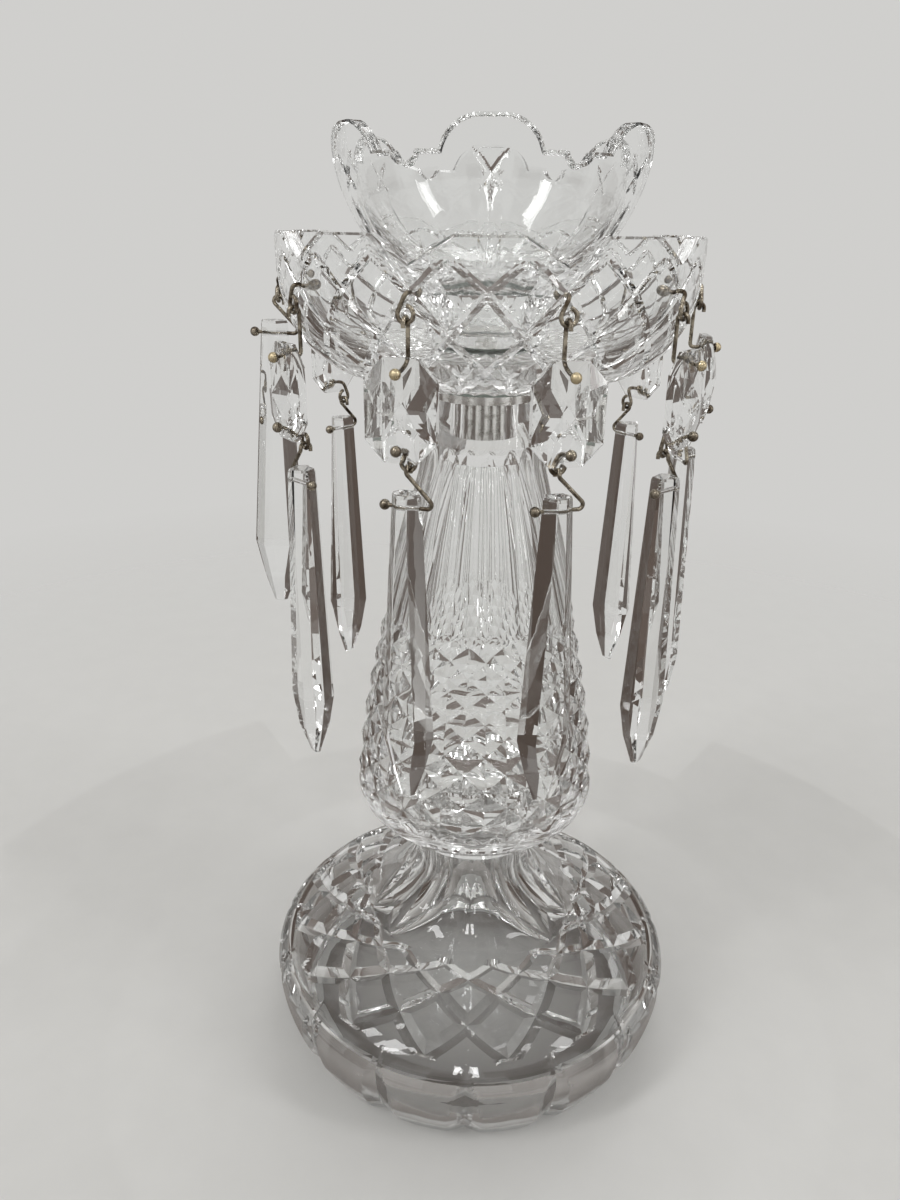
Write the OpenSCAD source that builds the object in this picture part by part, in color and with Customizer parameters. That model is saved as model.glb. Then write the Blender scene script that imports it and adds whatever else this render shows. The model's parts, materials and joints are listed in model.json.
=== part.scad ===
// Mantel lustre: a cut-glass candlestick with a hollow foot, a hollow pillar, a scalloped bowl,
// a candle cup standing in the bowl and ten chains of glass drops hung round the bowl on bent wire pins.
// Millimetres, +Z up, origin in the middle of the foot's underside, front towards -Y.

/* [Foot] */
// Radius of the foot where it stands
foot_rim_r = 54; // [48:0.5:58]
// Greatest radius of the foot
foot_max_r = 61; // [58:0.5:66]
// Height of the foot's greatest radius
foot_max_z = 21; // [16:0.5:28]
// Height above the widest line at which the outline of the foot's shoulder aims
foot_shoulder = 15; // [9:0.5:20]
// Height of the dome where it meets the neck
foot_dome_z = 61; // [52:0.5:66]
// Depth below the neck at which the dome's hollow sweep aims
foot_sweep = 27; // [20:0.5:32]
// Length of the neck above the dome
neck_h = 5.3; // [3:0.1:8]
// Radius of the neck
neck_r = 16.7; // [14:0.1:19]
// Thickness of the foot's wall
foot_wall = 5; // [3.5:0.1:6.5]
// Number of mitre cuts round the rim
foot_mitres = 15; // [10:1:20]
// Height of a mitre cut's point
mitre_h = 18; // [8:0.5:20]
// Depth of a mitre cut at the rim
mitre_d = 1.6; // [1:0.1:2.6]
// Width of a mitre cut at the rim
mitre_w = 9; // [5:0.1:11]

/* [Pillar] */
// Height of the pillar
pillar_h = 128; // [110:1:150]
// Radius of the disc under the pillar
disc_r = 20.5; // [18:0.1:23]
// Thickness of that disc
disc_h = 6.7; // [5:0.1:9]
// Radius of the pillar just above the disc
heel_r = 24; // [22:0.5:26]
// Greatest radius of the pillar
pillar_max_r = 34.2; // [30:0.1:38]
// Height of the greatest radius above the pillar's underside
pillar_max_z = 18; // [14:0.5:22]
// Radius of the pillar's top
pillar_top_r = 12; // [11:0.1:14]
// How much wider than its top the pillar's outline aims at its shoulder
pillar_flare = 7; // [4:0.5:10]
// Height of the groove between the disc and the heel
heel_step = 1; // [0.5:0.1:2]
// Thickness of the pillar's wall
pillar_wall = 4.5; // [3:0.1:5.5]
// Thickness of the solid glass at the pillar's top
pillar_cap = 16; // [13:0.5:24]
// Radius of the passage between the foot's hollow and the pillar's
passage_r = 9; // [6:0.5:11]

/* [Fittings] */
// Radius of the collar's flange
collar_r = 12.5; // [11:0.1:14]
// Thickness of the collar's flange
collar_t = 2; // [1.5:0.1:3]
// Radius of the bush below the flange
bush_r = 5.5; // [4.6:0.1:7]
// Length of the bush in the pillar's top
bush_h = 10; // [7:0.5:12]
// Radius of the washer under the bowl
seat_r = 12.8; // [11:0.1:14]
// Thickness of the washer under the bowl
seat_t = 1.7; // [1:0.1:2.5]
// Radius of the screw that holds the candle cup
screw_r = 3; // [2.5:0.1:4]
// Length of the screw's thread in the bush
screw_grip = 7; // [4:0.5:9]
// Radius of the screw's head
screw_head_r = 8; // [6:0.1:10]
// Thickness of the screw's head
screw_head_t = 1.2; // [0.8:0.1:2]
// Thickness of the washer under the candle cup
cup_washer_t = 1.2; // [0.8:0.1:2]
// Radius of the washer under the candle cup
cup_washer_r = 13; // [11:0.1:14.5]

/* [Bowl] */
// Height of the bowl to the top of its lobes
bowl_h = 34.5; // [30:0.5:40]
// Radius of the bowl's rim
bowl_r = 50; // [46:0.5:54]
// Radius of the flat under the bowl
bowl_base_r = 13; // [11:0.1:16]
// Thickness of the bowl's floor
bowl_floor = 5; // [4:0.1:7]
// Thickness of the bowl's wall
bowl_wall = 4; // [3:0.1:5]
// Depth of the notches between the lobes
lobe_notch = 5.3; // [3:0.1:7]
// Half the width of a notch at the rim
lobe_notch_w = 8.7; // [5:0.1:11]
// Height of the pin holes above the bowl's underside
hook_z = 24; // [21:0.1:26]

/* [Candle cup] */
// Height of the cup
cup_h = 49.8; // [44:0.1:56]
// Radius of the cup's rim
cup_r = 36.8; // [34:0.1:40]
// Radius of the cup's stem
cup_stem_r = 15.5; // [15:0.1:18]
// Height of the stem
cup_stem_h = 11; // [8:0.5:14]
// Thickness of the cup's wall
cup_wall = 3.6; // [2.5:0.1:4.5]
// How far the flare starts outside the stem
cup_step = 0.5; // [0.3:0.1:1]
// How far the outline aims out just above the stem
cup_flare = 8; // [6:0.5:10]
// Height above the stem that the outline aims at there
cup_flare_h = 10; // [7:0.5:13]
// Height above the stem at which the outline turns upright
cup_turn_h = 20; // [16:0.5:24]
// How far inside the rim the outline turns upright
cup_turn_in = 0.3; // [0.1:0.1:1]
// Radius of the candle socket
socket_r = 11.25; // [10.5:0.05:12]
// Height of the socket's floor
socket_floor = 4; // [3:0.1:6]
// Depth of the candle socket
socket_d = 13; // [10:0.5:16]
// Height of an arched lobe above the ledges
arch_h = 6.2; // [4:0.1:9]
// Depth of a notch below the ledges
cup_notch = 2.2; // [1:0.1:4]
// Half angle of an arched lobe, in degrees
arch_a = 17; // [14:0.5:19]
// Half angle of a notch, in degrees
notch_a = 5; // [3:0.5:8]

/* [Drops] */
// Width of an octagon
octagon_w = 15.5; // [12:0.1:18]
// Height of an octagon
octagon_h = 20.8; // [17:0.1:24]
// Thickness of an octagon's edge
octagon_edge = 1.6; // [1.2:0.1:2.5]
// How far the octagon's front rises to its centre
octagon_front = 2.2; // [1.5:0.1:3]
// How far the octagon's back rises to its table
octagon_back = 1.5; // [0.8:0.1:1.8]
// Share of an octagon's size that its back table has
octagon_table = 0.62; // [0.5:0.01:0.7]
// Share of an octagon's size that is left flat at the centre of its front
octagon_point = 0.02; // [0.01:0.01:0.1]
// Share of an octagon's width along its top edge
octagon_top = 0.46; // [0.4:0.01:0.55]
// Share of an octagon's height along its side edge
octagon_side = 0.58; // [0.5:0.01:0.65]
// Distance of an octagon's hole from its end
octagon_hole = 2.9; // [2.4:0.1:3.5]
// Length of a prism
prism_l = 74.4; // [60:0.2:82]
// Width of a prism at its top
prism_top_w = 6.6; // [6:0.1:8]
// Greatest width of a prism
prism_w = 13; // [10:0.1:15]
// Thickness of a prism at its top
prism_top_t = 5.6; // [5:0.1:7]
// Greatest thickness of a prism
prism_t = 7.4; // [6:0.1:8.5]
// Distance of a prism's hole from its top
prism_hole = 3; // [2.6:0.1:4]
// Length of a prism's pointed end
prism_tip = 17; // [12:0.5:22]
// Share of the pointed end below its last crease
prism_crease = 0.46; // [0.4:0.01:0.6]
// Share of a prism's width and thickness at that crease
prism_crease_w = 0.66; // [0.6:0.01:0.75]
prism_crease_t = 0.8; // [0.7:0.01:0.9]
// Share of a prism's width and thickness at its end
prism_end_w = 0.26; // [0.2:0.01:0.35]
prism_end_t = 0.2; // [0.15:0.01:0.3]
// Width of the bevel round a prism's top
prism_edge = 0.6; // [0.3:0.1:1]
// Share of a prism's thickness in front of its side edges
prism_front = 0.55; // [0.45:0.01:0.6]
// Slope of the facets beside a prism's front flat
prism_front_slope = 1.3; // [1.25:0.05:1.6]
// Slope of the facets beside a prism's back flat
prism_back_slope = 2.2; // [1.6:0.1:3]
// Lean of the prism that hangs straight from the bowl, resting on the bowl's side, in degrees
bare_lean = 2; // [1:0.5:6]

/* [Wire pins] */
// Thickness of the wire
wire_d = 0.9; // [0.8:0.02:1]
// Diameter of a pin's ball head
ball_d = 2.3; // [2:0.05:2.6]
// Radius of a plain bend, along the wire's middle
bend_r = 1; // [0.7:0.05:1.2]
// Radius of a ring on the bowl's pins, along the wire's middle
ring_r = 1.65; // [1.6:0.05:1.9]
// Straight wire between the bowl and a ring
ring_drop = 2.6; // [2:0.1:3.2]
// Radius of a loop under an octagon, along the wire's middle
loop_r = 1.6; // [1.6:0.05:1.9]
// Length of the wire's end below a hook
tail = 0.8; // [0.4:0.1:1.2]
// Straight wire from a ring down to an octagon
octagon_drop = 8; // [7:0.1:10]
// Straight wire from an octagon down to its loop
loop_drop = 2.4; // [2:0.1:3.2]
// Lean of a prism pin's wire towards the middle, in degrees
prism_lean = 45; // [40:5:55]

/* [Fits] */
// Radial clearance of a pin that turns in glass
pin_clear = 0.08; // [0.04:0.01:0.1]
// Clearance between a hook and the wire it hangs on
hook_clear = 0.3; // [0.2:0.05:0.4]
// Clearance between a ball or a bend and the glass beside it
head_clear = 0.3; // [0.2:0.05:0.5]
// Radial clearance of the screw in its bush
screw_clear = 0.06; // [0.02:0.01:0.1]
// Radial clearance of the screw in the glass and the washers
screw_hole_clear = 0.4; // [0.3:0.05:0.6]

/* [Hidden] */
// Number of chains round the bowl, and of arched lobes on the cup
drops = 10;
cup_lobes = 6;
// Fullness of the bowl's outline
bowl_lift = 3;
bowl_round = 0.4;
lobe_angle = 360 / drops;
cup_angle = 360 / cup_lobes;
// The chain on the left side has lost its octagon: its prism hangs straight from the bowl and faces front
bare_chains = [8];
// Side on which each prism pin has its ball head: -1 is the left as seen from outside
ball_sides = [-1, -1, 1, -1, 1, 1, 1, -1, 1, -1];

// Heights at which the pieces stand on each other
pillar_z = foot_dome_z + neck_h;
collar_z = pillar_z + pillar_h;
seat_z = collar_z + collar_t;
bowl_z = seat_z + seat_t;
cup_washer_z = bowl_z + bowl_floor;
cup_z = cup_washer_z + cup_washer_t;
hole_z = bowl_z + hook_z;

// Sizes that follow from the wire
wire_r = wire_d / 2;
hole_r = wire_r + pin_clear;
hook_r = wire_d + hook_clear;
hook_turn = 180;
// Directions in which the prism pins' hooks curl: towards the axis, and sideways on a bare chain
hook_in = 90;
bare_turn = ball_sides[bare_chains[0] - 1] > 0 ? 180 : 0;
ring_arc = 285;
// Distance from a hole down to the middle of its ring or loop, and the lean of the wire between them
ring_run = norm([ring_drop + bend_r, ring_r]);
ring_lean = atan(ring_r / (ring_drop + bend_r));
loop_run = norm([loop_drop + bend_r, loop_r]);
loop_lean = atan(loop_r / (loop_drop + bend_r));
// Where two lengths of wire meet, each stops short of a bead that is a little thicker than the wire
joint_gap = wire_d * 0.09;
bead_r = wire_r * 1.06;
// How far a cut runs past the surface that it opens, and where the cuts in the bowl's and the cup's wall start
slack = 0.5;
rim_from = bowl_r - 3 * bowl_wall;
cup_from = (cup_r - 2 * cup_wall) * cos(cup_angle / 2);

// Where a chain's parts lie: out is a distance from the axis, z a height
hook_out = bowl_radius(hook_z) + head_clear + bend_r;
ring_z = hole_z - ring_run;
swing_z = ring_z - ring_r;
octagon_in = hook_out - hook_r;
octagon_hole_z = swing_z - octagon_drop - bend_r;
octagon_z = octagon_hole_z + octagon_hole - octagon_h / 2;
octagon_out = octagon_in + bend_r + head_clear + octagon_edge / 2 + octagon_back;
loop_hole_z = octagon_hole_z - octagon_h + 2 * octagon_hole;
loop_z = loop_hole_z - loop_run;
loop_swing_z = loop_z - loop_r;
prism_out = octagon_in + hook_r;

// A prism pin's reach beside the prism at its head and at its bend, where the leaning stem clears the top
// corner of the prism, its stem and its height from the hole to the hook
prism_hole_w = prism_top_w + (prism_w - prism_top_w) * prism_hole / (prism_l - prism_tip);
prism_reach = prism_hole_w / 2 + head_clear;
corner_w = (prism_top_w - prism_edge) / 2;
corner_clear = wire_r + head_clear - bend_r * (1 + sin(prism_lean));
prism_bend = max(prism_reach, corner_w + prism_hole * tan(prism_lean) + corner_clear / cos(prism_lean));
prism_stem = (prism_bend + bend_r * (2 * cos(prism_lean) - 1)) / sin(prism_lean);
prism_rise = bend_r * (1 + 2 * sin(prism_lean)) + prism_stem * cos(prism_lean);

// Shares of the pillar's height at which its outline aims out and then in
pillar_low = 0.2;
pillar_high = 0.77;

circle_fn = 96;
wire_fn = 48;
profile_steps = 20;
arch_steps = 8;

function is_bare(k) = len([for (b = bare_chains) if (b == k) b]) > 0;
function reversed(list) = [for (i = [len(list) - 1 : -1 : 0]) list[i]];

// The foot's outline below and above its widest line, drawn in by the wall
function foot_side(u, wall) = foot_max_r - wall - (foot_max_r - foot_rim_r) * pow(1 - u, 2);
function foot_profile(wall, low_r) = concat(
    [for (i = [0 : profile_steps]) [foot_side(i / profile_steps, wall), foot_max_z * i / profile_steps]],
    curve_points([
        [foot_max_r - wall, foot_max_z],
        [foot_max_r - wall, foot_max_z + foot_shoulder - wall],
        [low_r, foot_dome_z - wall - foot_sweep],
        [low_r, foot_dome_z - wall],
    ], 1)
);

// A point on a cubic curve
function curve(p, t) = pow(1 - t, 3) * p[0] + 3 * pow(1 - t, 2) * t * p[1]
    + 3 * (1 - t) * pow(t, 2) * p[2] + pow(t, 3) * p[3];
function curve_points(p, from = 0) = [for (i = [from : profile_steps]) curve(p, i / profile_steps)];

// The pillar's outline above its heel, drawn in by the wall, up to its shoulder
function pillar_curve(wall, top_r, top_z) = [
    [pillar_max_r - wall, pillar_max_z],
    [pillar_max_r - wall, pillar_max_z + pillar_h * pillar_low],
    [pillar_top_r + pillar_flare - wall, pillar_h * pillar_high],
    [top_r, top_z],
];
function pillar_heel(wall, low_r, low_z) = [for (i = [0 : profile_steps / 2])
    let (a = 180 * i / profile_steps)
    [low_r + (pillar_max_r - wall - low_r) * sin(a), pillar_max_z - (pillar_max_z - low_z) * cos(a)]];

// Outer radius of the bowl at a height above its underside, and the inner one
function bowl_curve(u) = pow(1 - pow(1 - u, bowl_lift), bowl_round);
function bowl_radius(z) = bowl_base_r + (bowl_r - bowl_base_r) * bowl_curve(z / bowl_h);
function bowl_inside(z) = bowl_base_r
    + (bowl_r - bowl_wall - bowl_base_r) * bowl_curve((z - bowl_floor) / (bowl_h - bowl_floor));

// The cup's flared outline, drawn in by the wall
function cup_curve(wall) = [
    [cup_stem_r + cup_step - wall, cup_stem_h],
    [cup_stem_r + cup_step + cup_flare - wall, cup_stem_h + cup_flare_h],
    [cup_r - cup_turn_in - wall, cup_stem_h + cup_turn_h],
    [cup_r - wall, cup_h],
];

// One wire bend: it leaves the origin along +Z and curls towards +X, from one angle to another
module wire_bend(r, from, to) {
    translate([r, 0, 0])
        rotate([90, 0, 180])
            rotate([0, 0, from])
                rotate_extrude(angle = to - from, $fn = circle_fn)
                    translate([r, 0])
                        circle(r = wire_r, $fn = wire_fn);
}

// A wire along +Z: each step is a straight [length] or a bend [radius, angle, roll], and two meet in a bead
module wire(steps, i = 0) {
    step = steps[i];
    before = i > 0 ? joint_gap : 0;
    after = i < len(steps) - 1 ? joint_gap : 0;
    if (len(step) == 1) {
        translate([0, 0, before])
            cylinder(r = wire_r, h = step[0] - before - after, $fn = wire_fn);
        translate([0, 0, step[0]])
            wire_on(steps, i);
    } else {
        turn = step[1];
        per_length = 180 / (PI * step[0]);
        rotate([0, 0, step[2]]) {
            wire_bend(step[0], before * per_length, turn - after * per_length);
            translate([step[0], 0, 0])
                rotate([0, turn, 0])
                    translate([-step[0], 0, 0])
                        wire_on(steps, i);
        }
    }
}

// The bead after a step, and the rest of the wire
module wire_on(steps, i) {
    if (i < len(steps) - 1) {
        sphere(r = bead_r, $fn = wire_fn);
        wire(steps, i + 1);
    }
}

// A wire pin: a ball head at the origin and the wire leaving it along +Z
module headed_wire(steps) {
    sphere(d = ball_d, $fn = wire_fn);
    wire(steps);
}

// A closed solid through rings of points that all have the same count
module stacked(rings) {
    n = len(rings[0]);
    last = len(rings) - 1;
    sides = [for (k = [0 : last - 1]) for (i = [0 : n - 1]) let (j = (i + 1) % n)
        [k * n + i, (k + 1) * n + i, (k + 1) * n + j, k * n + j]];
    bottom = [for (i = [0 : n - 1]) i];
    top = [for (i = [n - 1 : -1 : 0]) last * n + i];
    polyhedron(points = [for (ring = rings) each ring], faces = concat([bottom], sides, [top]));
}

module place_drop(k) {
    rotate([0, 0, lobe_angle * (k + 0.5)])
        children();
}

module foot() {
    color("lightcyan")
        difference() {
            rotate_extrude($fn = circle_fn)
                polygon(concat([[0, 0]], foot_profile(0, neck_r), [[neck_r, pillar_z], [0, pillar_z]]));
            rotate_extrude($fn = circle_fn)
                polygon(concat(
                    [[0, -slack], [foot_rim_r - foot_wall, -slack]],
                    foot_profile(foot_wall, passage_r),
                    [[passage_r, pillar_z + slack], [0, pillar_z + slack]]
                ));
            for (i = [0 : foot_mitres - 1])
                rotate([0, 0, 360 * i / foot_mitres])
                    rim_mitre();
        }
}

// A mitre cut at the foot's rim: a V-shaped bar, leaning so that the cut runs out at the top
module rim_mitre() {
    lean = atan((mitre_d + foot_side(mitre_h / foot_max_z, 0) - foot_rim_r) / mitre_h);
    reach = 2 * mitre_d;
    translate([0, mitre_d - foot_rim_r, 0])
        rotate([lean, 0, 0])
            translate([0, 0, -mitre_h])
                linear_extrude(3 * mitre_h)
                    polygon([[0, 0], [-mitre_w, -reach], [mitre_w, -reach]]);
}

module pillar() {
    cavity_top = pillar_h - pillar_cap;
    cavity_r = pillar_top_r - pillar_wall;
    color("lightcyan")
        translate([0, 0, pillar_z])
            difference() {
                rotate_extrude($fn = circle_fn)
                    polygon(concat(
                        [[0, 0], [disc_r, 0], [disc_r, disc_h]],
                        pillar_heel(0, heel_r, disc_h + heel_step),
                        curve_points(pillar_curve(0, pillar_top_r, pillar_h), 1),
                        [[0, pillar_h]]
                    ));
                rotate_extrude($fn = circle_fn)
                    polygon(concat(
                        [[0, disc_h], [passage_r, disc_h]],
                        pillar_heel(pillar_wall, heel_r - pillar_wall, disc_h + heel_step + pillar_wall),
                        curve_points(pillar_curve(pillar_wall, cavity_r, cavity_top), 1),
                        [[0, cavity_top]]
                    ));
                translate([0, 0, -slack])
                    cylinder(r = passage_r, h = disc_h + 2 * slack, $fn = circle_fn);
                translate([0, 0, pillar_h - bush_h])
                    cylinder(r = bush_r, h = bush_h + slack, $fn = circle_fn);
            }
}

// Plated bush with a flange, set in the pillar's top, which takes the screw
module collar() {
    color("silver")
        difference() {
            union() {
                translate([0, 0, collar_z])
                    cylinder(r = collar_r, h = collar_t, $fn = circle_fn);
                translate([0, 0, collar_z - bush_h])
                    cylinder(r = bush_r, h = bush_h, $fn = circle_fn);
            }
            translate([0, 0, collar_z - screw_grip - slack])
                cylinder(r = screw_r + screw_clear, h = screw_grip + collar_t + 2 * slack, $fn = circle_fn);
        }
}

module washer(r, t) {
    difference() {
        cylinder(r = r, h = t, $fn = circle_fn);
        translate([0, 0, -slack])
            cylinder(r = screw_r + screw_hole_clear, h = t + 2 * slack, $fn = circle_fn);
    }
}

module seat_washer() {
    color("darkseagreen")
        translate([0, 0, seat_z])
            washer(seat_r, seat_t);
}

module bowl() {
    color("lightcyan")
        difference() {
            translate([0, 0, bowl_z])
                rotate_extrude($fn = circle_fn)
                    polygon(concat(
                        [for (i = [0 : profile_steps])
                            let (z = bowl_h * pow(i / profile_steps, 2))
                            [bowl_radius(z), z]],
                        [for (i = [profile_steps : -1 : 0])
                            let (z = bowl_floor + (bowl_h - bowl_floor) * pow(i / profile_steps, 2))
                            [bowl_inside(z), z]],
                        [[0, bowl_floor], [0, 0]]
                    ));
            translate([0, 0, bowl_z - slack])
                cylinder(r = screw_r + screw_hole_clear, h = bowl_floor + 2 * slack, $fn = circle_fn);
            for (k = [0 : drops - 1])
                place_drop(k) {
                    lobe_cut();
                    translate([0, -rim_from, hole_z])
                        rotate([90, 0, 0])
                            cylinder(r = hole_r, h = bowl_r + slack - rim_from, $fn = wire_fn);
                }
        }
}

// The notch between two lobes: a V cut out through the rim
module lobe_cut() {
    rise = slack / lobe_notch * lobe_notch_w;
    translate([0, -rim_from, bowl_z + bowl_h - lobe_notch])
        rotate([90, 0, 0])
            linear_extrude(bowl_r + slack - rim_from)
                polygon([
                    [0, 0],
                    [lobe_notch_w + rise, lobe_notch + slack],
                    [-lobe_notch_w - rise, lobe_notch + slack],
                ]);
}

module cup_washer() {
    color("darkseagreen")
        translate([0, 0, cup_washer_z])
            washer(cup_washer_r, cup_washer_t);
}

module cup_screw() {
    color("silver") {
        translate([0, 0, cup_z + socket_floor - screw_head_t])
            cylinder(r = screw_head_r, h = screw_head_t, $fn = circle_fn);
        translate([0, 0, collar_z - screw_grip])
            cylinder(r = screw_r, h = cup_z + socket_floor - collar_z + screw_grip, $fn = circle_fn);
    }
}

module candle_cup() {
    color("lightcyan")
        translate([0, 0, cup_z])
            difference() {
                rotate_extrude($fn = circle_fn)
                    polygon(concat(
                        [[0, 0], [cup_stem_r, 0]],
                        curve_points(cup_curve(0)),
                        reversed(curve_points(cup_inside())),
                        [[socket_r, socket_floor], [0, socket_floor]]
                    ));
                translate([0, 0, -slack])
                    cylinder(r = screw_r + screw_clear, h = socket_floor + 2 * slack, $fn = circle_fn);
                translate([0, 0, socket_floor - screw_head_t])
                    cylinder(r = screw_head_r + screw_clear, h = screw_head_t + slack, $fn = circle_fn);
                for (i = [0 : cup_lobes - 1])
                    rotate([0, 0, cup_angle * (i + 0.5)])
                        cup_cut();
            }
}

// The inside of the cup above its candle socket
function cup_inside() = let (out = cup_curve(cup_wall)) [
    [socket_r, socket_floor + socket_d],
    [max(out[1][0], socket_r), max(out[1][1], socket_floor + socket_d + cup_step)],
    out[2],
    out[3],
];

// The gap between two arched lobes: arch sides down to the ledges, and a round notch between the ledges
module cup_cut() {
    ledge_z = cup_h - arch_h;
    half = cup_r * sin(cup_angle / 2 - arch_a);
    arch_run = (cup_r - cup_wall) * sin(cup_angle / 2) - half;
    arch_side = [for (i = [0 : arch_steps])
        let (a = 90 * i / arch_steps)
        [half + arch_run * (1 - cos(a)), ledge_z + arch_h * sin(a)]];
    translate([0, -cup_from, 0])
        rotate([90, 0, 0])
            linear_extrude(cup_r + slack - cup_from)
                union() {
                    polygon(concat(
                        arch_side,
                        [[half + arch_run, cup_h + slack], [-half - arch_run, cup_h + slack]],
                        [for (p = reversed(arch_side)) [-p[0], p[1]]]
                    ));
                    translate([0, ledge_z + cup_r * sin(notch_a) - cup_notch])
                        circle(r = cup_r * sin(notch_a), $fn = wire_fn);
                }
}

// Pin in the bowl's wall: ball head inside, ring outside
module bowl_pin() {
    head_out = bowl_inside(hook_z) - head_clear - ball_d / 2;
    color("darkkhaki")
        translate([0, -head_out, hole_z])
            rotate([90, 0, 0])
                headed_wire([
                    [hook_out - bend_r - head_out],
                    [bend_r, 90, -90 - ring_lean],
                    [ring_drop],
                    [ring_r, ring_arc, 90],
                ]);
}

// Outline of an octagon at a depth: out is its distance from the axis, share its size
function octagon_ring(out, share) = let (
    w = octagon_w / 2 * share, h = octagon_h / 2 * share,
    top = w * octagon_top, side = h * octagon_side
) [for (p = [[w, -side], [w, side], [top, h], [-top, h], [-w, side], [-w, -side], [-top, -h], [top, -h]])
    [p[0], -out, octagon_z + p[1]]];

module octagon() {
    color("lightcyan")
        difference() {
            stacked([
                octagon_ring(octagon_out - octagon_edge / 2 - octagon_back, octagon_table),
                octagon_ring(octagon_out - octagon_edge / 2, 1),
                octagon_ring(octagon_out + octagon_edge / 2, 1),
                octagon_ring(octagon_out + octagon_edge / 2 + octagon_front, octagon_point),
            ]);
            for (z = [octagon_hole_z, loop_hole_z])
                translate([0, 0, z])
                    rotate([90, 0, 0])
                        cylinder(r = hole_r, h = bowl_r + octagon_w, $fn = wire_fn);
        }
}

// The two pins of an octagon: the upper one hooks on the bowl's pin, the lower one carries the prism
module octagon_pins() {
    front_rise = octagon_front * octagon_hole / (octagon_h / 2);
    head_out = octagon_out + octagon_edge / 2 + front_rise + head_clear + ball_d / 2;
    color("darkkhaki") {
        translate([0, -head_out, octagon_hole_z])
            rotate([-90, 0, 0])
                headed_wire([
                    [head_out - octagon_in - bend_r],
                    [bend_r, 90, -90],
                    [octagon_drop],
                    [hook_r, hook_turn, 0],
                    [tail],
                ]);
        translate([0, -head_out, loop_hole_z])
            rotate([-90, 0, 0])
                headed_wire([
                    [head_out - octagon_in - bend_r],
                    [bend_r, 90, 90 + loop_lean],
                    [loop_drop],
                    [loop_r, ring_arc, -90],
                ]);
    }
}

// One level of a prism: width, thickness and distance below the top. The facets beside the front flat
// and the back flat keep their slopes from level to level, so that every facet is flat.
function prism_level(w, t, down) = let (
    f = prism_front * t,
    b = t - f,
    front = w / 2 - f / prism_front_slope,
    back = w / 2 - b / prism_back_slope
) [
    [front, -f, -down], [w / 2, 0, -down], [back, b, -down],
    [-back, b, -down], [-w / 2, 0, -down], [-front, -f, -down],
];

// A prism that hangs from the origin of its hole's axis
module prism_shape() {
    crease_z = prism_l - prism_tip * prism_crease;
    translate([0, 0, prism_hole])
        stacked([
            prism_level(prism_w * prism_end_w, prism_t * prism_end_t, prism_l),
            prism_level(prism_w * prism_crease_w, prism_t * prism_crease_t, crease_z),
            prism_level(prism_w, prism_t, prism_l - prism_tip),
            prism_level(prism_top_w, prism_top_t, prism_edge),
            prism_level(prism_top_w - prism_edge, prism_top_t - prism_edge, 0),
        ]);
}

module prism_body() {
    color("lightcyan")
        difference() {
            prism_shape();
            rotate([0, 90, 0])
                cylinder(r = hole_r, h = prism_w, center = true, $fn = wire_fn);
        }
}

// A prism's pin: ball head on one side, wire up the other side and over to the middle, where it hooks
module prism_pin_body(side, turn) {
    color("darkkhaki")
        mirror([side > 0 ? 1 : 0, 0, 0])
            translate([-prism_reach - ball_d / 2, 0, 0])
                rotate([0, 90, 0])
                    headed_wire([
                        [prism_reach + ball_d / 2 + prism_bend],
                        [bend_r, 90 + prism_lean, 180],
                        [prism_stem],
                        [bend_r, prism_lean, 180],
                        [hook_r, hook_turn, turn],
                        [tail],
                    ]);
}

// Where a prism hangs: on an octagon's loop or, on a bare chain, on the bowl's ring, leaning and facing front
module place_prism(k) {
    place_drop(k)
        if (is_bare(k + 1))
            translate([0, -hook_out, swing_z])
                rotate([0, bare_lean, -lobe_angle * (k + 0.5)])
                    translate([-hook_r, 0, -prism_rise])
                        children();
        else
            translate([0, -prism_out, loop_swing_z - prism_rise])
                children();
}

module prism(k) {
    place_prism(k)
        prism_body();
}

module prism_pin(k) {
    place_prism(k)
        prism_pin_body(ball_sides[k], is_bare(k + 1) ? bare_turn : hook_in);
}

numbers = [for (k = [1 : drops]) k];
with_octagon = [for (k = numbers) if (!is_bare(k)) k];

foot();
pillar();
collar();
seat_washer();
bowl();
cup_washer();
cup_screw();
candle_cup();
for (k = numbers) {
    place_drop(k - 1) bowl_pin();
    prism_pin(k - 1);
    prism(k - 1);
}
for (k = with_octagon) {
    place_drop(k - 1) octagon();
    place_drop(k - 1) octagon_pins();
}
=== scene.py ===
"""Looks of a cut-glass mantel lustre: most of its glass as cut shells, the rest from the frame.

Sizes are millimetres until a mesh is written, where they become metres; the studio is in metres.
Angles round the axis are degrees from the front (-Y) towards the right (+X).
"""

import json
import logging
import math
from dataclasses import dataclass, field
from enum import Enum
from typing import Any, Sequence, Union

import bpy
import numpy as np
from mathutils import Matrix

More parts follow.
